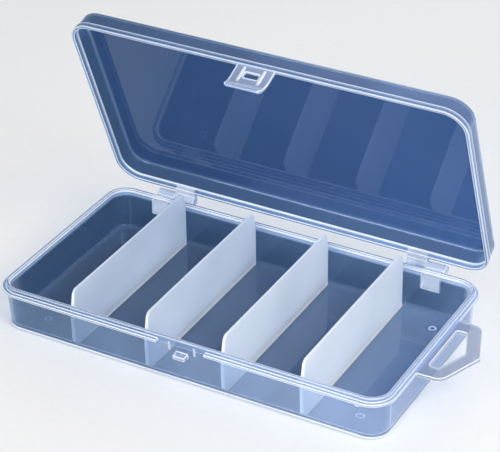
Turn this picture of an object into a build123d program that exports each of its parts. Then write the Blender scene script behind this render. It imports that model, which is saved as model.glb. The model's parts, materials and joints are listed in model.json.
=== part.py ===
from build123d import *
from math import cos, radians, sin, tan
import os

os.makedirs("parts", exist_ok=True)

# A small clear box for fishing tackle: a shallow tray with five long compartments, a lid on two
# back hinges, a spring latch at the front and a hanging tab at the right end.
# Millimetres. X runs along the box, -Y is the front with the latch, +Z is up.
# The origin is the middle of the tray at the level that its feet stand on.
# The lid stands open, as it does in use.

# Tray
lip_length = 175.6          # outside of the lip that the lid closes over
lip_width = 93.6
lip_corner = 9.0            # corner radius of the lip seen from above
lip_thickness = 1.3
tray_height = 20.0          # from the underside to the lip's top, feet left out
lip_rise = 1.8              # how far the lip stands above the flange
flange_reach = 1.7          # how far the flange stands out from the lip
flange_thickness = 1.1
wall_draft = 2.9            # degrees, outside of the wall
cavity_draft = 1.4          # degrees, inside of the wall
ledge_width = 0.4           # small step inside the lip
ledge_drop = 1.0
floor_thickness = 1.2
floor_round = 1.5           # fillet between the floor and the wall, inside
bottom_round = 1.0          # round on the tray's outer bottom edge
edge_round = 0.3            # small rounds on rims and edges
level_band = 0.01           # edges this near to a level are taken as lying on it

# Feet under the tray
foot_radius = 1.6
foot_height = 0.5
foot_spacing_x = 144.6
foot_spacing_y = 66.6

# Catch on the front wall and the gap in the flange for the latch
catch_width = 5.3
catch_height = 2.2
catch_reach = 3.05
catch_drop = 4.75           # from the flange's top to the middle of the catch
catch_slope = 0.35          # drop of the catch's top towards its nose, for the latch to ride over
notch_width = 21.8
guide_spacing = 11.5        # two fine upright ribs beside the catch
guide_width = 0.5
guide_height = 0.25
guide_length = 3.9

# Small nib under the front flange
nib_x = 77.6                # nib's middle from the middle of the box
nib_radius = 1.2
nib_depth = 1.1

# Hanging tab at the right end, a five-sided plate with a five-sided slot
tab_thickness = 1.5
tab_root_width = 41.0
tab_shoulder_width = 40.4
tab_shoulder_x = 10.2       # from the flange's edge
tab_reach = 17.8
tab_shoulder_round = 4.5
tab_tip_round = 2.0
slot_start_x = 1.9
slot_shoulder_x = 6.1
slot_tip_x = 11.3
slot_root_width = 26.8
slot_shoulder_width = 27.6
slot_round = 1.0

# Dividers
divider_count = 4
divider_pitch = 35.0
divider_rise = 6.3          # above the lip
divider_top_thickness = 1.0
divider_foot_thickness = 1.6
divider_foot_round = 1.0
divider_fit = 0.1           # clearance to the wall at each end
divider_lean = 12.0         # degrees, ends above the ledge lean in
divider_corner_round = 2.2

# Lid
open_angle = 69.0           # the lid's opening at rest, from closed
lid_height = 10.3
lid_panel = 1.2
skirt_thickness = 1.35
lid_clearance = 0.3         # between the lip and the inside of the lid's rim
rim_gap = 0.1               # between the lid's rim and the flange when closed
band_height = 2.4           # the rim's band stands out from the skirt above it
band_step = 0.45
lid_draft = 1.6             # degrees
lid_edge_round = 2.6

# Hinges
hinge_spacing = 121.6       # between the two planes where the knuckles meet
hinge_offset = 3.85         # pin axis behind the lid's back rim
hinge_drop = 0.6            # pin axis below the lid's rim
knuckle_radius = 2.2
knuckle_gap = 0.3
tray_knuckle_length = 8.6
lid_knuckle_length = 9.1
wedge_length = 7.7          # from the flange's top to where the tray's wedge runs out on the wall
lid_wedge_height = 3.0      # how far the lid's wedge climbs its skirt
pin_radius = 1.1
pin_fit = 0.02              # clearance of the pin in the tray's knuckle
pin_running = 0.08          # clearance of the pin in the lid's knuckle
pin_engagement = 4.4        # length of pin inside the lid's knuckle
pin_end_gap = 0.3

# Latch
latch_width = 16.8
latch_tip_width = 16.0
latch_length = 13.3
latch_thickness = 1.1
latch_root_gap = 0.15
latch_lean = 0.25           # the tab leans in by this much at its knee
latch_knee = 5.6
latch_flare = 1.5           # the finger lip stands out by this much
latch_bead = 0.75           # radius of the finger lip's edge
latch_corner_round = 1.6
window_width = 6.6
window_round = 0.5
window_above = 0.45         # clearance over the catch
window_below = 0.25         # clearance under the catch
latch_rib_spacing = 9.0
latch_rib_width = 0.7
latch_rib_height = 0.45
latch_rib_length = 8.0

# Levels and outlines that follow from the sizes above
floor_top = foot_height + floor_thickness
lip_top = foot_height + tray_height
flange_top = lip_top - lip_rise
flange_bottom = flange_top - flange_thickness
ledge_z = lip_top - ledge_drop
cavity_depth = ledge_z - floor_top
wall_run = tan(radians(wall_draft)) * (flange_top - foot_height)
cavity_run = tan(radians(cavity_draft)) * cavity_depth
ledge_inset = lip_thickness + ledge_width
floor_inset = ledge_inset + cavity_run
rim_z = flange_top + rim_gap
rim_out = lid_clearance + skirt_thickness
hinge_y = lip_width / 2 + rim_out + hinge_offset
hinge_z = rim_z - hinge_drop
hinge_x = hinge_spacing / 2


def rounded(outset):
    """The lip's outline, seen from above, grown by an outset or shrunk by a negative one."""
    return RectangleRounded(lip_length + 2 * outset, lip_width + 2 * outset, lip_corner + outset)


def wall_y(z):
    """Half the tray's outside width at a height."""
    return lip_width / 2 - tan(radians(wall_draft)) * (flange_top - z)


def knuckle_span(side, start, length):
    """Lower X end of a knuckle that starts at a distance from the middle, on the side -1 or 1."""
    return start if side > 0 else -start - length


# Tray
with BuildPart() as tray:
    # Drafted shell with its flange and lip
    with BuildSketch(Plane.XY.offset(foot_height)):
        rounded(-wall_run)
    extrude(amount=flange_top - foot_height, taper=-wall_draft)
    fillet(tray.faces().sort_by(Axis.Z)[0].edges(), radius=bottom_round)
    with BuildSketch(Plane.XY.offset(flange_bottom)):
        rounded(flange_reach)
        with Locations((0, -lip_width / 2 - flange_reach)):
            Rectangle(notch_width, 2 * flange_reach, mode=Mode.SUBTRACT)
    extrude(amount=flange_thickness)
    with BuildSketch(Plane.XY.offset(flange_bottom)):
        rounded(0)
    extrude(amount=lip_top - flange_bottom)
    fillet(tray.faces().sort_by(Axis.Z)[-1].edges(), radius=edge_round)

    # Hollow, with a small step inside the lip
    with BuildSketch(Plane.XY.offset(floor_top)):
        rounded(-floor_inset)
    extrude(amount=cavity_depth, taper=-cavity_draft, mode=Mode.SUBTRACT)
    fillet(tray.edges().filter_by_position(Axis.Z, floor_top - level_band, floor_top + level_band),
           radius=floor_round)
    with BuildSketch(Plane.XY.offset(ledge_z)):
        rounded(-lip_thickness)
    extrude(amount=ledge_drop, mode=Mode.SUBTRACT)

    # Hanging tab with its slot
    edge_x = lip_length / 2 + flange_reach
    with BuildSketch(Plane.XY.offset(flange_top - tab_thickness)) as tab:
        with BuildLine():
            Polyline((edge_x - flange_reach, -tab_root_width / 2),
                     (edge_x, -tab_root_width / 2),
                     (edge_x + tab_shoulder_x, -tab_shoulder_width / 2),
                     (edge_x + tab_reach, 0),
                     (edge_x + tab_shoulder_x, tab_shoulder_width / 2),
                     (edge_x, tab_root_width / 2),
                     (edge_x - flange_reach, tab_root_width / 2),
                     close=True)
        make_face()
        fillet(tab.vertices().sort_by(Axis.X)[-1], radius=tab_tip_round)
        shoulder_x = edge_x + tab_shoulder_x
        fillet(tab.vertices().filter_by_position(Axis.X, shoulder_x - level_band, shoulder_x + level_band),
               radius=tab_shoulder_round)
    extrude(amount=tab_thickness)
    with BuildSketch(Plane.XY.offset(flange_top - tab_thickness)) as slot:
        with BuildLine():
            Polyline((edge_x + slot_start_x, -slot_root_width / 2),
                     (edge_x + slot_shoulder_x, -slot_shoulder_width / 2),
                     (edge_x + slot_tip_x, 0),
                     (edge_x + slot_shoulder_x, slot_shoulder_width / 2),
                     (edge_x + slot_start_x, slot_root_width / 2),
                     close=True)
        make_face()
        fillet(slot.vertices(), radius=slot_round)
    extrude(amount=tab_thickness, mode=Mode.SUBTRACT)

    # Catch, a wedge that the latch rides over, between two fine upright ribs
    catch_low = flange_top - catch_drop - catch_height / 2
    catch_high = catch_low + catch_height
    nose_y = wall_y(flange_top - catch_drop) + catch_reach
    root_y = lip_width / 2 - lip_thickness
    with BuildSketch(Plane.YZ):
        Polygon((-root_y, catch_low), (-nose_y, catch_low + catch_slope), (-nose_y, catch_high - catch_slope),
                (-root_y, catch_high), align=None)
    extrude(amount=catch_width / 2, both=True)
    nose = tray.faces().filter_by(Axis.Y).sort_by(Axis.Y)[0]
    fillet(nose.edges().filter_by(Axis.Z), radius=edge_round)
    guide_foot = flange_top - guide_length
    with BuildSketch(Plane.YZ):
        Polygon((-root_y, guide_foot), (-wall_y(guide_foot) - guide_height, guide_foot + guide_height),
                (-wall_y(flange_top) - guide_height, flange_top), (-root_y, flange_top), align=None)
    guide = extrude(amount=guide_width / 2, both=True, mode=Mode.PRIVATE)
    with Locations((-guide_spacing / 2, 0), (guide_spacing / 2, 0)):
        add(guide)

    # Nib under the front flange
    with BuildSketch(Plane.XZ.offset(lip_width / 2 - lip_thickness)):
        with Locations((nib_x, flange_bottom)):
            Circle(nib_radius)
    extrude(amount=lip_thickness + nib_depth)

    # Tray halves of the hinges: a knuckle behind the flange, on a wedge that runs out on the wall
    wedge_foot = flange_top - wedge_length
    for side in (-1, 1):
        low = knuckle_span(side, hinge_x + knuckle_gap / 2, tray_knuckle_length)
        with BuildSketch(Plane.YZ.offset(low)):
            with Locations((hinge_y, hinge_z)):
                Circle(knuckle_radius)
            Polygon((root_y, wedge_foot), (wall_y(wedge_foot) + edge_round, wedge_foot),
                    (hinge_y, hinge_z - knuckle_radius), (hinge_y, flange_top), (root_y, flange_top),
                    align=None)
        extrude(amount=tray_knuckle_length)
        with BuildSketch(Plane.YZ.offset(low)):
            with Locations((hinge_y, hinge_z)):
                Circle(pin_radius + pin_fit)
        extrude(amount=tray_knuckle_length, mode=Mode.SUBTRACT)

    # Feet
    with BuildSketch(Plane.XY):
        with GridLocations(foot_spacing_x, foot_spacing_y, 2, 2):
            Circle(foot_radius)
    extrude(amount=foot_height)
tray.part.label = "tray"
export_step(tray.part, "parts/tray.step")

# Dividers: thin plates that taper to the top, with a filleted foot and ends that lean in above the lip
divider_top = lip_top + divider_rise
ledge_end = lip_width / 2 - ledge_inset - divider_fit
floor_end = lip_width / 2 - floor_inset - divider_fit
top_end = ledge_end - tan(radians(divider_lean)) * (divider_top - ledge_z)
foot_half = divider_foot_thickness / 2 + divider_foot_round
for number in range(1, divider_count + 1):
    divider_x = (number - (divider_count + 1) / 2) * divider_pitch
    with BuildPart() as divider:
        with BuildSketch(Plane.XZ) as section:
            with BuildLine():
                bottom = Line((divider_x - foot_half, floor_top), (divider_x + foot_half, floor_top))
                right_root = RadiusArc(bottom @ 1, (divider_x + divider_foot_thickness / 2,
                                                    floor_top + divider_foot_round), divider_foot_round)
                Polyline(right_root @ 1,
                         (divider_x + divider_top_thickness / 2, divider_top),
                         (divider_x - divider_top_thickness / 2, divider_top),
                         (divider_x - divider_foot_thickness / 2, floor_top + divider_foot_round))
                RadiusArc((divider_x - divider_foot_thickness / 2, floor_top + divider_foot_round),
                          bottom @ 0, divider_foot_round)
            make_face()
            fillet(section.vertices().group_by(Axis.Y)[-1], radius=edge_round)
        extrude(amount=lip_width, both=True)
        with BuildSketch(Plane.YZ.offset(divider_x)) as outline:
            Polygon((-floor_end, floor_top), (floor_end, floor_top), (ledge_end, ledge_z),
                    (top_end, divider_top), (-top_end, divider_top), (-ledge_end, ledge_z), align=None)
            fillet(outline.vertices().group_by(Axis.Y)[-1], radius=divider_corner_round)
            fillet(outline.vertices().group_by(Axis.Y)[0], radius=floor_round + divider_fit)
        extrude(amount=divider_pitch / 2, both=True, mode=Mode.INTERSECT)
    divider.part.label = f"divider_{number}"
    export_step(divider.part, f"parts/divider_{number}.step")

# The lid's planes, swung open about the pin axis. Their own coordinates are the closed lid's:
# x and y as on the tray, z up from the rim.
swing = radians(open_angle)
lid_y = (0, cos(swing), -sin(swing))
lid_up = (0, sin(swing), cos(swing))
lid_origin = (0, hinge_y - hinge_y * cos(swing) + hinge_drop * sin(swing),
              hinge_z + hinge_y * sin(swing) + hinge_drop * cos(swing))
lid_rim = Plane(origin=lid_origin, x_dir=(1, 0, 0), z_dir=lid_up)
lid_side = Plane(origin=lid_origin, x_dir=lid_y, z_dir=(1, 0, 0))
lid_front = Plane(origin=lid_origin, x_dir=(1, 0, 0), z_dir=(0, -cos(swing), sin(swing)))

# Lid
lid_axis = Axis(lid_origin, lid_up)
with BuildPart() as lid:
    # Shell: a drafted skirt and panel over a band that stands out at the rim
    with BuildSketch(lid_rim):
        rounded(rim_out - band_step)
    extrude(amount=lid_height, taper=lid_draft)
    fillet(lid.faces().sort_by(lid_axis)[-1].edges(), radius=lid_edge_round)
    with BuildSketch(lid_rim):
        rounded(rim_out)
    extrude(amount=band_height)
    fillet(lid.edges().group_by(lid_axis)[0], radius=edge_round)
    with BuildSketch(lid_rim.offset(band_height)):
        rounded(lid_clearance - band_step)
    extrude(amount=lid_height - lid_panel - band_height, taper=lid_draft, mode=Mode.SUBTRACT)
    ceiling = lid.faces().filter_by(lid_rim).sort_by(lid_axis)[-2]
    fillet(ceiling.edges(), radius=lid_edge_round - lid_panel)
    with BuildSketch(lid_rim):
        rounded(lid_clearance)
    extrude(amount=band_height, mode=Mode.SUBTRACT)

    # Lid halves of the hinges: a knuckle behind the rim, on a wedge that climbs the skirt
    skirt_y = lip_width / 2 + rim_out - band_step - skirt_thickness / 2
    for side in (-1, 1):
        low = knuckle_span(side, hinge_x - knuckle_gap / 2 - lid_knuckle_length, lid_knuckle_length)
        with BuildSketch(lid_side.offset(low)):
            with Locations((hinge_y, -hinge_drop)):
                Circle(knuckle_radius)
            Polygon((skirt_y, 0), (hinge_y, 0), (hinge_y, knuckle_radius - hinge_drop),
                    (skirt_y, lid_wedge_height), align=None)
        extrude(amount=lid_knuckle_length)
        bore_depth = pin_engagement + pin_end_gap
        bore_low = knuckle_span(side, hinge_x - knuckle_gap / 2 - bore_depth, bore_depth)
        with BuildSketch(lid_side.offset(bore_low)):
            with Locations((hinge_y, -hinge_drop)):
                Circle(pin_radius + pin_running)
        extrude(amount=bore_depth, mode=Mode.SUBTRACT)
lid.part.label = "lid"
export_step(lid.part, "parts/lid.step")

# Hinge pins, pushed in from outside through the tray's knuckles into the lid's
for side, name in ((-1, "hinge_pin_left"), (1, "hinge_pin_right")):
    pin_length = tray_knuckle_length + knuckle_gap + pin_engagement
    low = knuckle_span(side, hinge_x - knuckle_gap / 2 - pin_engagement, pin_length)
    with BuildPart() as pin:
        with BuildSketch(Plane.YZ.offset(low)):
            with Locations((hinge_y, hinge_z)):
                Circle(pin_radius)
        extrude(amount=pin_length)
        chamfer(pin.edges().filter_by(GeomType.CIRCLE), length=edge_round)
    pin.part.label = name
    export_step(pin.part, f"parts/{name}.step")

# Latch: a springy tab with a window for the catch, two ribs and a flared finger lip
latch_out = lip_width / 2 + rim_out
middle_y = latch_out - latch_thickness / 2
window_top = rim_z - catch_high - window_above
window_bottom = rim_z - catch_low + window_below
with BuildPart() as latch:
    with BuildSketch(lid_side) as strip:
        with BuildLine() as spine:
            root = (-middle_y, -latch_root_gap - latch_thickness / 2)
            knee = (-middle_y + latch_lean, -latch_knee)
            tip = (-middle_y - latch_flare, -latch_length + latch_thickness / 2)
            shank = Line(root, knee)
            TangentArc(knee, tip, tangent=shank % 1)
            offset(amount=latch_thickness / 2)
        make_face()
        with Locations((tip[0], -latch_length + latch_bead)):
            Circle(latch_bead)
    extrude(amount=latch_width, both=True)
    for rib_x in (-latch_rib_spacing / 2, latch_rib_spacing / 2):
        with BuildSketch(lid_side.offset(rib_x - latch_rib_width / 2)):
            Polygon((-middle_y, -latch_thickness), (-latch_out, -latch_thickness),
                    (-latch_out + latch_lean / 2 - latch_rib_height, -latch_thickness - latch_rib_height),
                    (-latch_out + latch_lean - latch_rib_height, -latch_rib_length),
                    (-latch_out, -latch_rib_length - latch_thickness),
                    (-middle_y, -latch_rib_length), align=None)
        extrude(amount=latch_rib_width)
    with BuildSketch(lid_front) as front:
        Polygon((-latch_width / 2, 0), (-latch_width / 2, -latch_knee), (-latch_tip_width / 2, -latch_length),
                (latch_tip_width / 2, -latch_length), (latch_width / 2, -latch_knee), (latch_width / 2, 0),
                align=None)
        fillet(front.vertices().group_by(Axis.Y)[0], radius=latch_corner_round)
    extrude(amount=lip_width, mode=Mode.INTERSECT)
    with BuildSketch(lid_front):
        with Locations((0, -(window_top + window_bottom) / 2)):
            RectangleRounded(window_width, window_bottom - window_top, window_round)
    extrude(amount=lip_width, mode=Mode.SUBTRACT)
latch.part.label = "latch"
export_step(latch.part, "parts/latch.step")
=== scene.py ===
import json
import math

import bpy
from mathutils import Matrix, Vector


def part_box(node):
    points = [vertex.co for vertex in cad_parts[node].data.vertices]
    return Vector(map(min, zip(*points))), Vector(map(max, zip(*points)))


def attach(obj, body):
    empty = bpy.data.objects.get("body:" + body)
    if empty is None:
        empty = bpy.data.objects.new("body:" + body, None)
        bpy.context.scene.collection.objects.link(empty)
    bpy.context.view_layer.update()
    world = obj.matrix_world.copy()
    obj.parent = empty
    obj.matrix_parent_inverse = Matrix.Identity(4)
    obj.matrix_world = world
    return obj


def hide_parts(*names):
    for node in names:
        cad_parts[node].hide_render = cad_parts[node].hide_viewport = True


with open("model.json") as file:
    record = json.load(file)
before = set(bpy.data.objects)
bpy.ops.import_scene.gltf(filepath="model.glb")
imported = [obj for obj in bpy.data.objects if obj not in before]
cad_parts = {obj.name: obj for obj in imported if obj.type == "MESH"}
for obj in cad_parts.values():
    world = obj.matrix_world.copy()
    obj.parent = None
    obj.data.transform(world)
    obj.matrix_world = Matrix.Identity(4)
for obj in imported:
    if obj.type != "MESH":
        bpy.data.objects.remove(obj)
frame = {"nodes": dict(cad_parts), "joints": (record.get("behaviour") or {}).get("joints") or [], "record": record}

scene = bpy.context.scene
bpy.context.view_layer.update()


# ---- Node helpers --------------------------------------------------------------------------------

def new_material(name):
    """An empty node material with its output, ready for a maker's own shader."""
    material = bpy.data.materials.new(name)
    material.use_nodes = True
    tree = material.node_tree
    tree.nodes.clear()
    tree.nodes.new("ShaderNodeOutputMaterial")
    return material, tree


def to_surface(tree, shader):
    tree.links.new(shader, tree.nodes["Material Output"].inputs["Surface"])


def node(tree, kind, links=None, **settings):
    """Adds a node. Settings set its own options, links fill its sockets with values or sockets."""
    made = tree.nodes.new(kind)
    for option, value in settings.items():
        setattr(made, option, value)
    for socket, value in (links or {}).items():
        if isinstance(value, bpy.types.NodeSocket):
            tree.links.new(value, made.inputs[socket])
        else:
            made.inputs[socket].default_value = value
    return made


def math_node(tree, operation, first, second=0.0, clamp=False):
    return node(tree, "ShaderNodeMath", {0: first, 1: second}, operation=operation, use_clamp=clamp).outputs[0]


def vector_node(tree, operation, first, second=(0, 0, 0)):
    made = node(tree, "ShaderNodeVectorMath", {0: first, 1: second}, operation=operation)
    return made.outputs["Value" if operation in ("LENGTH", "DOT_PRODUCT") else "Vector"]


def ramp(tree, value, start, end, low=0.0, high=1.0):
    """A value spread smoothly from low to high between two readings."""
    made = node(tree, "ShaderNodeMapRange", {"Value": value, "From Min": start, "From Max": end,
                                             "To Min": low, "To Max": high}, interpolation_type="SMOOTHSTEP")
    return made.outputs["Result"]


def between(tree, value, low, high, soft=0.0003):
    """1 where a value lies between two levels, 0 elsewhere. A level of None is left open."""
    mask = 1.0
    if low is not None:
        mask = ramp(tree, value, low - soft, low + soft)
    if high is not None:
        below = ramp(tree, value, high - soft, high + soft, 1.0, 0.0)
        mask = below if low is None else math_node(tree, "MULTIPLY", mask, below)
    return mask


def blend_numbers(tree, share, first, second):
    return node(tree, "ShaderNodeMix", {0: share, 2: first, 3: second}).outputs[0]


def blend_colours(tree, share, first, second):
    return node(tree, "ShaderNodeMix", {0: share, 6: first, 7: second}, data_type="RGBA").outputs[2]


def blend_shaders(tree, share, first, second):
    return node(tree, "ShaderNodeMixShader", {0: share, 1: first, 2: second}).outputs[0]


def noise(tree, place, scale, detail=3.0, roughness=0.5):
    return node(tree, "ShaderNodeTexNoise", {"Vector": place, "Scale": scale, "Detail": detail,
                                             "Roughness": roughness}).outputs["Fac"]


def drawn_out_noise(tree, place, scales, detail, roughness=0.5, turn=(0, 0, 0)):
    """Noise with a scale of its own along each axis."""
    drawn = node(tree, "ShaderNodeMapping", {"Vector": place, "Rotation": turn, "Scale": scales}).outputs[0]
    return noise(tree, drawn, 1.0, detail, roughness)


def solid(colour):
    """A colour with the full alpha that a colour socket asks for."""
    return (*colour, 1.0)


# ---- Places on the box, in metres ----------------------------------------------------------------

# One foot; the other three mirror it
FOOT = next(mount["pos_m"] for mount in frame["record"]["mounts"] if mount["name"] == "foot_back_right")
FOOT_RIM = (0.0010, 0.0017)
FOOT_RIM_SOFT = 0.00012
FLOOR_LEVELS = (0.0012, 0.0022)
# The opened lid: how far it has swung from shut, and where the middle of its rim now lies
lid_hinge = next(joint for joint in frame["joints"] if joint["name"] == "lid_hinge")
pins = Vector(lid_hinge["pos_m"])
RIM_ABOVE_PINS = 0.0006
LID_SWING = math.radians(lid_hinge["range_deg"][0])
LID_PLACE = pins + Matrix.Rotation(LID_SWING, 3, "X") @ Vector((0, -pins.y, RIM_ABOVE_PINS))
# Half the lip's length and width less its corner radius. The third is past any height, so height never counts
CORE = (0.0788, 0.0378, 1.0)
BOX_END = 0.09
# Where the two faces that get painted light begin and where they are whole: the front, and the end with the tab
FRONT_FACE = (-0.030, -0.044)
TAB_FACE = (0.080, 0.086)
# The painted light is weakest at the end away from the tab, and full from this far along
PAINTED_LIGHT_LEAST, PAINTED_LIGHT_FULL_AT = 0.80, 0.08


def box_place(tree, on_lid=False):
    """Object coordinates of the box: z up from the feet, or from the lid's rim on the lid."""
    place = node(tree, "ShaderNodeTexCoord").outputs["Object"]
    if on_lid:
        place = node(tree, "ShaderNodeMapping", {"Vector": place, "Location": LID_PLACE,
                                                 "Rotation": (LID_SWING, 0, 0)}, vector_type="TEXTURE").outputs[0]
    return place


def wall_reach(tree, place):
    """How far a point lies outside the core of the box: 9 mm on the lip, less inside it."""
    past = vector_node(tree, "SUBTRACT", vector_node(tree, "ABSOLUTE", place), CORE)
    return vector_node(tree, "LENGTH", vector_node(tree, "MAXIMUM", past))


def foot_rings(tree, place, height):
    """1 over the rims of the four feet, where a ring of painted highlight goes in the floor above them."""
    away = vector_node(tree, "SUBTRACT", vector_node(tree, "ABSOLUTE", place), FOOT)
    radius = vector_node(tree, "LENGTH", vector_node(tree, "MULTIPLY", away, (1, 1, 0)))
    return math_node(tree, "MULTIPLY", between(tree, radius, *FOOT_RIM, FOOT_RIM_SOFT),
                     between(tree, height, *FLOOR_LEVELS))


# ---- Moulded polypropylene -----------------------------------------------------------------------

IOR = 1.49
# Colours of a straight-on reflection, of lamp light behind a wall, and of the painted highlight at the edges
GLEAM, LAMP_TINT, EDGE_HIGHLIGHT_MILK = (0.55, 0.75, 1.0), (0.80, 0.86, 0.94), (0.95, 0.975, 1.0)
# How much milk the painted edge highlight puts in
EDGE_HIGHLIGHT_HAZE = 0.95
# Painted shade and light along the box: what the milk turns to towards the end away from the tab, and how far the
# haze goes down there and up towards the tab
SHADED_END_MILK, LIT_END_HAZE_SPREAD = (0.04, 0.44, 1.0), 0.4
# Cosines between the rounded normal and the face's own, where an edge begins and where it is whole
EDGE_BEND = (0.998, 0.95)
# Patterns of noise, drawn out along the flow in the mould, across the scuffs and along upright lines
FLOW = dict(scales=(14.0, 40.0, 60.0), detail=3.0)
SCUFFS = dict(scales=(60.0, 1500.0, 700.0), detail=4.0, roughness=0.6, turn=(0.4, 0.2, 0.7))
UPRIGHT_LINES = dict(scales=(1.0, 900.0, 25.0), detail=2.0)
CLOUDS = 22.0
# Readings of the noise where a pattern begins and where it is whole. Scuffs show only where clouds are thick
FLOW_SHOWS, SCUFFS_SHOW, SCUFFED_CLOUDS = (0.3, 0.7), (0.60, 0.78), (0.40, 0.70)
CLOUDS_THICKEN, CLOUDS_DULL, LINES_SHOW = (0.25, 0.8), (0.3, 0.75), (0.35, 0.65)
# What they do to the haze, the tint, the roughness and the surface
CLOUD_HAZE, CLOUD_ROUGHNESS = (0.8, 1.2), 1.6
SCUFF_HAZE, SCUFF_ROUGHNESS, SCUFF_DEPTH = 0.06, 0.10, -0.03
FLOW_DARKNESS, FLOW_RISE = 0.06, 0.6
RELIEF_STRENGTH, RELIEF_DEPTH = 0.12, 0.0004


def rounded_and_highlit_edges(tree, edge_reach):
    """The surface's normal with rounded edges, and a mask of the edges where the milky highlight is painted: where
    the rounded normal leaves the face's own.
    """
    rounded = node(tree, "ShaderNodeBevel", {"Radius": edge_reach}, samples=8).outputs[0]
    along = vector_node(tree, "DOT_PRODUCT", rounded, node(tree, "ShaderNodeNewGeometry").outputs["Normal"])
    return rounded, ramp(tree, math_node(tree, "ABSOLUTE", along), *EDGE_BEND)


def zoned_look(tree, place, axes, zones, share, colour, cloud):
    """The haze's share, tint, milk and strength of the painted edge highlights, changed zone by zone.

    Each zone is a band of reach past the core, of height, of distance aside from the middle and of depth from
    front to back, with a tint and a haze of its own. It may have painted edge highlights of a strength of its own,
    a milk of its own, and a second pair of tint and haze for painted light on the front and the end with the tab,
    fullest towards the tab. A zone may be kept to those two faces. The last result is 1 in the zones with their
    own milk, which get no painted shade at the end away from the tab.
    """
    readings = {"reach": wall_reach(tree, place), "height": axes[2],
                "aside": math_node(tree, "ABSOLUTE", axes[0]), "depth": axes[1]}
    # Painted light: the front and the end with the tab, fullest towards the tab, where zones take their paler tint
    # and haze
    outer = math_node(tree, "MAXIMUM", ramp(tree, axes[1], *FRONT_FACE), ramp(tree, axes[0], *TAB_FACE))
    painted_light = math_node(tree, "MULTIPLY", outer, ramp(tree, axes[0], -BOX_END, PAINTED_LIGHT_FULL_AT, PAINTED_LIGHT_LEAST, 1.0))
    highlight_lines, steady = EDGE_HIGHLIGHT_HAZE, 0.0
    for zone in zones:
        mask = outer if zone.get("outer") else 1.0
        for band, reading in readings.items():
            if band in zone:
                mask = math_node(tree, "MULTIPLY", mask, between(tree, reading, *zone[band]))
        zone_tint, zone_haze = solid(zone["tint"]), zone["haze"]
        if "lit_look" in zone:
            lit_tint, lit_haze = zone["lit_look"]
            zone_tint = blend_colours(tree, painted_light, zone_tint, solid(lit_tint))
            zone_haze = ramp(tree, painted_light, 0.0, 1.0, zone_haze, lit_haze)
        share = blend_numbers(tree, mask, share, zone_haze)
        colour = blend_colours(tree, mask, colour, zone_tint)
        highlight_lines = blend_numbers(tree, mask, highlight_lines, zone.get("highlight_lines", EDGE_HIGHLIGHT_HAZE))
        if "milk" in zone:
            cloud = blend_colours(tree, mask, cloud, solid(zone["milk"]))
            steady = math_node(tree, "MAXIMUM", steady, mask)
    return share, colour, cloud, highlight_lines, steady


def plastic_shader(tree, share, colour, milk_colour, gloss, normal, glow):
    """Clear plastic mixed with its milk by a share. Lamps shine through the clear part of a wall."""
    finish = {"Roughness": gloss, "IOR": IOR, "Normal": normal}
    clear = node(tree, "ShaderNodeBsdfPrincipled", {"Base Color": colour, "Specular Tint": solid(GLEAM),
                                                    "Transmission Weight": 1.0, **finish}).outputs[0]
    milky = node(tree, "ShaderNodeBsdfPrincipled", {"Base Color": milk_colour, **finish}).outputs[0]
    through = node(tree, "ShaderNodeBsdfTranslucent", {"Color": milk_colour}).outputs[0]
    body = blend_shaders(tree, share, clear, blend_shaders(tree, glow, milky, through))
    lamp_ray = node(tree, "ShaderNodeLightPath").outputs["Is Shadow Ray"]
    passing = node(tree, "ShaderNodeBsdfTransparent", {"Color": solid(LAMP_TINT)}).outputs[0]
    lit = math_node(tree, "MULTIPLY", lamp_ray, math_node(tree, "SUBTRACT", 1.0, share))
    return blend_shaders(tree, lit, body, passing)


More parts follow.
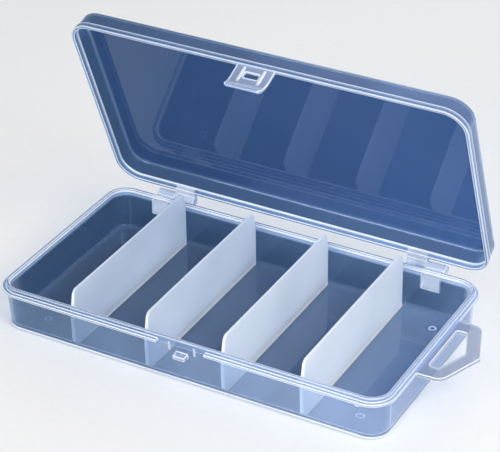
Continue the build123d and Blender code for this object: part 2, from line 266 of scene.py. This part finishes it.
def moulded_plastic(name, tint, milk, haze, polish, glow, zones=(), on_lid=False, rings=False, wear=1.0, end_shade=0.35,
                    streaks=0.0, edge_reach=0.0009, edge_highlight_milk=EDGE_HIGHLIGHT_MILK):
    """Clear plastic: tinted and see-through, with a little milk in it, and milky white at the edges as painted
    highlight.

    tint is the colour of light through a wall, milk the colour of the plastic's own haze and haze its share.
    polish is the roughness of the mould's finish, glow how much of the haze lets light through, and wear how
    much the scuffs show. end_shade is painted shade: how much darker, clearer and bluer the plastic is at the end
    away from the tab, with the haze thicker towards the tab as painted light. streaks is how strong the fine upright
    lines are. The edges' rounded normal and painted highlight are as wide as edge_reach, and the highlight is as
    pale as edge_highlight_milk.
    """
    material, tree = new_material(name)
    place = box_place(tree, on_lid)
    axes = node(tree, "ShaderNodeSeparateXYZ", {0: place}).outputs
    rounded, edge_highlight = rounded_and_highlit_edges(tree, edge_reach)
    flow = drawn_out_noise(tree, place, **FLOW)
    clouds = noise(tree, place, CLOUDS)
    scuffs = drawn_out_noise(tree, place, **SCUFFS)
    worn = math_node(tree, "MULTIPLY", ramp(tree, scuffs, *SCUFFS_SHOW),
                     ramp(tree, clouds, *SCUFFED_CLOUDS, 0.0, wear))
    # Painted shade: none at the end with the tab, rising to the full end shade at the far end
    shaded_end = ramp(tree, axes[0], BOX_END, -BOX_END, 0.0, end_shade)
    cloud = blend_colours(tree, shaded_end, solid(milk), solid(SHADED_END_MILK))
    share, colour, cloud, highlight_lines, steady = zoned_look(tree, place, axes, zones, haze, solid(tint), cloud)

    # Haze: thicker in the clouds, thicker towards the tab as painted light, thinner in the streaks, thickest in
    # scuffs, and at the edges as painted highlight
    # Painted highlight: full haze in a ring over each foot's rim
    if rings:
        share = blend_numbers(tree, foot_rings(tree, place, axes[2]), share, 1.0)
    share = math_node(tree, "MULTIPLY", share, ramp(tree, clouds, *CLOUDS_THICKEN, *CLOUD_HAZE))
    lit_end_spread = ramp(tree, axes[0], -BOX_END, BOX_END, 1.0 - LIT_END_HAZE_SPREAD * end_shade, 1.0 + LIT_END_HAZE_SPREAD * end_shade)
    share = math_node(tree, "MULTIPLY", share, blend_numbers(tree, steady, lit_end_spread, 1.0))
    if streaks:
        fine = drawn_out_noise(tree, place, **UPRIGHT_LINES)
        share = math_node(tree, "SUBTRACT", share, ramp(tree, fine, *LINES_SHOW, 0.0, streaks))
    share = math_node(tree, "ADD", share, math_node(tree, "MULTIPLY", worn, SCUFF_HAZE))
    share = math_node(tree, "MAXIMUM", share, math_node(tree, "MULTIPLY", edge_highlight, highlight_lines), clamp=True)

    # Tint, darker along the flow and, as painted shade, towards the end away from the tab, and milk, paler at the
    # edges as painted highlight
    dark = math_node(tree, "ADD", ramp(tree, flow, *FLOW_SHOWS, 0.0, FLOW_DARKNESS),
                     math_node(tree, "MULTIPLY", shaded_end, math_node(tree, "SUBTRACT", 1.0, steady)))
    colour = blend_colours(tree, dark, colour, solid((0.0, 0.0, 0.0)))
    milk_colour = blend_colours(tree, edge_highlight, cloud, solid(edge_highlight_milk))

    # Finish: duller in clouds and scuffs, on a surface that waves with the flow
    gloss = math_node(tree, "ADD", ramp(tree, clouds, *CLOUDS_DULL, polish, polish * CLOUD_ROUGHNESS),
                      math_node(tree, "MULTIPLY", worn, SCUFF_ROUGHNESS))
    relief = math_node(tree, "ADD", math_node(tree, "MULTIPLY", flow, FLOW_RISE),
                       math_node(tree, "MULTIPLY", worn, SCUFF_DEPTH))
    normal = node(tree, "ShaderNodeBump", {"Strength": RELIEF_STRENGTH, "Distance": RELIEF_DEPTH,
                                           "Height": relief, "Normal": rounded}).outputs[0]
    to_surface(tree, plastic_shader(tree, share, colour, milk_colour, gloss, normal, glow))
    return material


MILK = (0.62, 0.75, 1.0)
# The second tint of each pair is paler, as painted light on the front and the end with the tab
WALL_TINT, PAINTED_LIT_TINT = (0.07, 0.14, 0.27), (0.70, 0.80, 0.95)
SKIRT_TINT, PAINTED_LIT_SKIRT_TINT = (0.06, 0.13, 0.28), (0.10, 0.25, 0.50)
KNUCKLE_LOOK = dict(depth=(0.040, None), tint=(0.58, 0.66, 0.80), milk=(0.78, 0.83, 0.91))
# Levels are in metres. A band's None is left open
tray_zones = [
    # the floor's fillet, and the fine line where it begins
    dict(reach=(0.0048, 0.0070), height=(None, 0.0036), tint=(0.20, 0.29, 0.45), haze=0.06, highlight_lines=0.12),
    dict(reach=(0.0052, 0.0056), height=(None, 0.0022), tint=(0.26, 0.30, 0.40), haze=0.14, highlight_lines=0.12),
    # walls, inside and outside, paler on the front and the end with the tab as painted light
    dict(reach=(0.0067, None), height=(0.0028, None), tint=WALL_TINT, haze=0.05, lit_look=(PAINTED_LIT_TINT, 0.06)),
    dict(reach=(0.0077, None), height=(None, 0.0172), tint=WALL_TINT, haze=0.07, lit_look=(PAINTED_LIT_TINT, 0.20)),
    # bottom edge on the front and the end with the tab, painted white as a highlight line
    dict(reach=(0.0072, None), height=(0.0007, 0.0018), outer=True,
         tint=(0.70, 0.82, 0.98), haze=0.95, milk=(0.92, 0.96, 1.0)),
    # ledge, lip and flange
    dict(reach=(0.0070, None), height=(0.0172, None), tint=(0.42, 0.52, 0.71), haze=0.24),
    # the back wall where the wedges stand behind it, then the wedges and knuckles
    dict(reach=(0.0066, 0.0082), height=(0.0112, None), aside=(0.06095, 0.06955), haze=0.12, **KNUCKLE_LOOK),
    dict(reach=(0.0082, None), height=(0.0112, None), aside=(0.06095, 0.06955), haze=0.44, **KNUCKLE_LOOK),
    # hanging tab
    dict(reach=(0.0109, None), height=(0.0137, None), depth=(None, 0.046),
         tint=(0.42, 0.46, 0.55), haze=0.22, milk=(0.55, 0.59, 0.69)),
]
lid_zones = [
    # skirt, paler on the front and the end with the tab as painted light
    dict(reach=(0.0080, None), height=(None, 0.0100), tint=SKIRT_TINT, haze=0.06, lit_look=(PAINTED_LIT_SKIRT_TINT, 0.12)),
    # corner of the panel with weaker edge highlights, then the outer round of the panel, painted white on the front
    # and the end with the tab as a highlight line
    dict(reach=(0.0079, 0.0084), height=(0.0076, None), tint=(0.30, 0.40, 0.60), haze=0.16, highlight_lines=0.2),
    dict(reach=(0.0086, None), height=(0.0088, None), outer=True,
         tint=(0.60, 0.74, 0.95), haze=0.80, milk=(0.85, 0.92, 1.0)),
    # outer round at the back
    dict(reach=(0.0084, None), height=(0.0076, None), depth=(0.036, None), tint=SKIRT_TINT, haze=0.06, highlight_lines=0.4),
    # band at the rim, and the rim's own face, painted white as a highlight line
    dict(reach=(0.0090, None), height=(None, 0.0024), tint=(0.16, 0.29, 0.52), haze=0.16),
    dict(reach=(0.0102, None), height=(-0.0001, 0.0002), tint=(0.66, 0.76, 0.92), haze=0.95),
    # wedges and knuckles
    dict(reach=(0.0090, None), height=(-0.0040, 0.0030), aside=(0.05155, 0.06065), haze=0.44, **KNUCKLE_LOOK),
    # latch
    dict(reach=(0.0060, None), height=(None, -0.0001), depth=(None, 0.040),
         tint=(0.36, 0.47, 0.64), haze=0.28, milk=(0.62, 0.70, 0.88)),
]
divider_zones = [
    # front ends, painted white as a highlight where they catch the light
    dict(depth=(None, -0.0436), tint=(0.90, 0.95, 1.0), haze=1.0, milk=(1.0, 1.0, 1.0)),
]

tray_plastic = moulded_plastic("tray_plastic", (0.26, 0.335, 0.465), MILK, haze=0.06, polish=0.035, glow=0.2,
                               zones=tray_zones, rings=True, wear=0.35, end_shade=0.42)
lid_plastic = moulded_plastic("lid_plastic", (0.04, 0.11, 0.31), MILK, haze=0.025, polish=0.025, glow=0.2,
                              zones=lid_zones, on_lid=True, wear=0.5)
divider_plastic = moulded_plastic("divider_plastic", (0.72, 0.84, 1.0), (0.96, 0.98, 1.0), haze=0.72, polish=0.30,
                                  glow=0.4, zones=divider_zones, wear=0.0, end_shade=0.13, streaks=0.05,
                                  edge_reach=0.0006, edge_highlight_milk=(1.0, 1.0, 1.0))
pin_plastic = moulded_plastic("pin_plastic", (0.74, 0.82, 0.92), (0.90, 0.94, 1.0), haze=0.65, polish=0.14,
                              glow=0.5, end_shade=0.0)

finish_of = {"tray": tray_plastic, "lid": lid_plastic, "latch": lid_plastic,
             "hinge_pin_left": pin_plastic, "hinge_pin_right": pin_plastic}
for name, part in frame["nodes"].items():
    part.data.materials.clear()
    part.data.materials.append(finish_of.get(name, divider_plastic))


# ---- Dividers, all four from one Geometry Nodes tree ---------------------------------------------

# Sizes in metres. Ends are half lengths, and Across is where a divider stands along the box
DIVIDER = {"Floor": 0.0017, "Ledge": 0.0195, "Top": 0.0268,
           "End at floor": 0.044565, "End at ledge": 0.0450, "End at top": 0.043448,
           "Foot thickness": 0.0016, "Top thickness": 0.0010, "Foot round": 0.0010, "Edge round": 0.0003,
           "Top corner": 0.0022, "Floor corner": 0.0016, "Across": 0.0, "Bow": 0.0, "Plastic": divider_plastic}
BOWS = (0.00012, -0.00010, 0.00008, -0.00006)
# Rows of points through a plate's thickness, along it and up it
PLATE_ROWS = {"Vertices X": 5, "Vertices Y": 49, "Vertices Z": 57}
QUARTER_TURN = math.pi / 2


class Maker:
    """Short words for building a Geometry Nodes tree."""

    def __init__(self, name, sizes):
        self.tree = bpy.data.node_groups.new(name, "GeometryNodeTree")
        self.tree.interface.new_socket("Geometry", in_out="OUTPUT", socket_type="NodeSocketGeometry")
        for label, value in sizes.items():
            kind = "NodeSocketMaterial" if isinstance(value, bpy.types.Material) else "NodeSocketFloat"
            self.tree.interface.new_socket(label, in_out="INPUT", socket_type=kind)
        self.inputs = self.tree.nodes.new("NodeGroupInput").outputs
        self.output = self.tree.nodes.new("NodeGroupOutput").inputs

    def add(self, kind, links=None, **settings):
        return node(self.tree, kind, links, **settings)

    def work(self, operation, first, second=0.0):
        return math_node(self.tree, operation, first, second)

    def line(self, value, start, end, low, high):
        """low to high, straight, as the value goes from start to end, and no further."""
        made = self.add("ShaderNodeMapRange", {"Value": value, "From Min": start, "From Max": end,
                                               "To Min": low, "To Max": high})
        return made.outputs["Result"]

    def round_off(self, distance, radius):
        """How far a round of this radius cuts in at a distance from the edge that it starts from."""
        inside = self.work("SUBTRACT", radius, self.work("MINIMUM", self.work("MAXIMUM", distance, 0.0), radius))
        level = self.work("SUBTRACT", self.work("MULTIPLY", radius, radius), self.work("MULTIPLY", inside, inside))
        return self.work("SUBTRACT", radius, self.work("SQRT", self.work("MAXIMUM", level, 0.0)))


def divider_tree():
    """A plate that tapers to its top, with a filleted foot, round edges and ends that lean in above the ledge."""
    m = Maker("divider_maker", DIVIDER)
    size = m.inputs
    block = m.add("GeometryNodeMeshCube", {"Size": (2, 2, 2), **PLATE_ROWS})
    spot = m.add("ShaderNodeSeparateXYZ", {0: m.add("GeometryNodeInputPosition").outputs[0]}).outputs
    # Rows gather at the foot and the top, and at the two ends
    climb = m.work("SINE", m.work("MULTIPLY", spot[2], QUARTER_TURN))
    level = m.line(climb, -1, 1, size["Floor"], size["Top"])
    along = m.work("SINE", m.work("MULTIPLY", spot[1], QUARTER_TURN))
    from_floor = m.work("SUBTRACT", level, size["Floor"])
    from_top = m.work("SUBTRACT", size["Top"], level)
    # Where the plate ends at this level
    end = m.line(level, size["Floor"], size["Ledge"], size["End at floor"], size["End at ledge"])
    lean = m.work("SUBTRACT", size["End at ledge"], size["End at top"])
    end = m.work("SUBTRACT", end, m.line(level, size["Ledge"], size["Top"], 0.0, lean))
    end = m.work("SUBTRACT", end, m.round_off(from_top, size["Top corner"]))
    end = m.work("SUBTRACT", end, m.round_off(from_floor, size["Floor corner"]))
    # Half its thickness there
    half = m.line(level, size["Floor"], size["Top"], m.work("MULTIPLY", size["Foot thickness"], 0.5),
                  m.work("MULTIPLY", size["Top thickness"], 0.5))
    half = m.work("ADD", half, m.round_off(from_floor, size["Foot round"]))
    half = m.work("SUBTRACT", half, m.round_off(from_top, size["Edge round"]))
    from_end = m.work("MULTIPLY", end, m.work("SUBTRACT", 1.0, m.work("ABSOLUTE", along)))
    half = m.work("SUBTRACT", half, m.round_off(from_end, size["Edge round"]))
    # The bow is widest at the middle of the top
    sway = m.work("MULTIPLY", m.work("COSINE", m.work("MULTIPLY", along, QUARTER_TURN)),
                  m.line(level, size["Floor"], size["Top"], 0.0, 1.0))
    across = m.work("ADD", size["Across"], m.work("MULTIPLY", size["Bow"], sway))
    x = m.work("ADD", across, m.work("MULTIPLY", spot[0], half))
    placed = m.add("ShaderNodeCombineXYZ", {0: x, 1: m.work("MULTIPLY", end, along), 2: level}).outputs[0]
    plate = m.add("GeometryNodeSetPosition", {"Geometry": block.outputs[0], "Position": placed}).outputs[0]
    plate = m.add("GeometryNodeRealizeInstances", {0: plate}).outputs[0]
    plate = m.add("GeometryNodeSetMaterial", {"Geometry": plate, "Material": size["Plastic"]}).outputs[0]
    m.tree.links.new(plate, m.output[0])
    return m.tree


def from_tree(name, tree, sizes):
    """The plain mesh that a Geometry Nodes tree makes with these sizes."""
    carrier = bpy.data.objects.new(name + "_carrier", bpy.data.meshes.new(name + "_carrier"))
    scene.collection.objects.link(carrier)
    maker = carrier.modifiers.new("maker", "NODES")
    maker.node_group = tree
    for item in tree.interface.items_tree:
        if item.in_out == "INPUT":
            maker[item.identifier] = sizes[item.name]
    bpy.context.view_layer.update()
    graph = bpy.context.evaluated_depsgraph_get()
    mesh = bpy.data.meshes.new_from_object(carrier.evaluated_get(graph))
    bpy.data.objects.remove(carrier)
    mesh.name = name
    made = bpy.data.objects.new(name, mesh)
    scene.collection.objects.link(made)
    return made


plate_tree = divider_tree()
for number, bow in enumerate(BOWS, 1):
    cad_name = f"divider_{number}"
    low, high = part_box(cad_name)
    plate = from_tree(f"divider_plate_{number}", plate_tree, {**DIVIDER, "Across": (low.x + high.x) / 2, "Bow": bow})
    plate.data.shade_smooth()
    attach(plate, "tray")
    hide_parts(cad_name)


# ---- Studio --------------------------------------------------------------------------------------

FLOOR_HALF = 6.0
FLOOR_GREYS, FLOOR_GRAIN, FLOOR_ROUGHNESS = ((0.72,) * 3, (0.76,) * 3), 300.0, 0.75
LAMP_AIM = Vector((0, 0, 0.04))
# Where each lamp stands, the length of its side and its watts
SOFTBOXES = {"key_softbox": ((1.1, -0.4, 1.1), 0.9, 22), "front_softbox": ((-0.6, -2.6, 0.9), 1.5, 50),
             "back_softbox": ((-0.3, 1.3, 1.0), 0.9, 4)}
AIR_COLOUR, AIR_STRENGTH = (0.86, 0.88, 0.90), 0.50
# The photo's camera: its turn from the front, its rise and its tip in degrees, and the point in mid picture
TURN, RISE, TIP = (math.radians(angle) for angle in (29.371, 31.316, -0.838))
AIM, DISTANCE = Vector((0.0086386, -0.0056497, 0.0539973)), 0.8047
FOCAL_LENGTH, SENSOR_WIDTH = 145.67, 36


def floor():
    """A plain pale floor at the level that the feet stand on."""
    mesh = bpy.data.meshes.new("floor")
    corners = [(x * FLOOR_HALF, y * FLOOR_HALF, 0) for x, y in ((-1, -1), (1, -1), (1, 1), (-1, 1))]
    mesh.from_pydata(corners, [], [(0, 1, 2, 3)])
    obj = bpy.data.objects.new("floor", mesh)
    scene.collection.objects.link(obj)
    material, tree = new_material("pale_floor")
    place = node(tree, "ShaderNodeTexCoord").outputs["Object"]
    colour = blend_colours(tree, noise(tree, place, FLOOR_GRAIN), *map(solid, FLOOR_GREYS))
    paint = node(tree, "ShaderNodeBsdfPrincipled", {"Base Color": colour, "Roughness": FLOOR_ROUGHNESS})
    to_surface(tree, paint.outputs[0])
    mesh.materials.append(material)


def softbox(name, place, side, watts):
    lamp = bpy.data.lights.new(name, "AREA")
    lamp.shape, lamp.size, lamp.energy = "SQUARE", side, watts
    obj = bpy.data.objects.new(name, lamp)
    scene.collection.objects.link(obj)
    obj.location = place
    obj.rotation_euler = (LAMP_AIM - Vector(place)).to_track_quat("-Z", "Y").to_euler()


def photo_camera():
    back = Vector((math.sin(TURN) * math.cos(RISE), -math.cos(TURN) * math.cos(RISE), math.sin(RISE)))
    level_right = Vector((math.cos(TURN), math.sin(TURN), 0))
    level_up = back.cross(level_right)
    right = level_right * math.cos(TIP) + level_up * math.sin(TIP)
    up = level_up * math.cos(TIP) - level_right * math.sin(TIP)
    lens = bpy.data.cameras.new("photo_camera")
    lens.lens, lens.sensor_width = FOCAL_LENGTH, SENSOR_WIDTH
    lens.clip_start, lens.clip_end = 0.01, 50
    camera = bpy.data.objects.new("photo_camera", lens)
    scene.collection.objects.link(camera)
    camera.matrix_world = Matrix((*zip(right, up, back, AIM + back * DISTANCE), (0, 0, 0, 1)))
    scene.camera = camera


floor()
for name, (place, side, watts) in SOFTBOXES.items():
    softbox(name, place, side, watts)
world = bpy.data.worlds.new("studio")
scene.world = world
world.use_nodes = True
air = world.node_tree.nodes["Background"].inputs
air["Color"].default_value = solid(AIR_COLOUR)
air["Strength"].default_value = AIR_STRENGTH
photo_camera()
scene.view_settings.view_transform = "Standard"
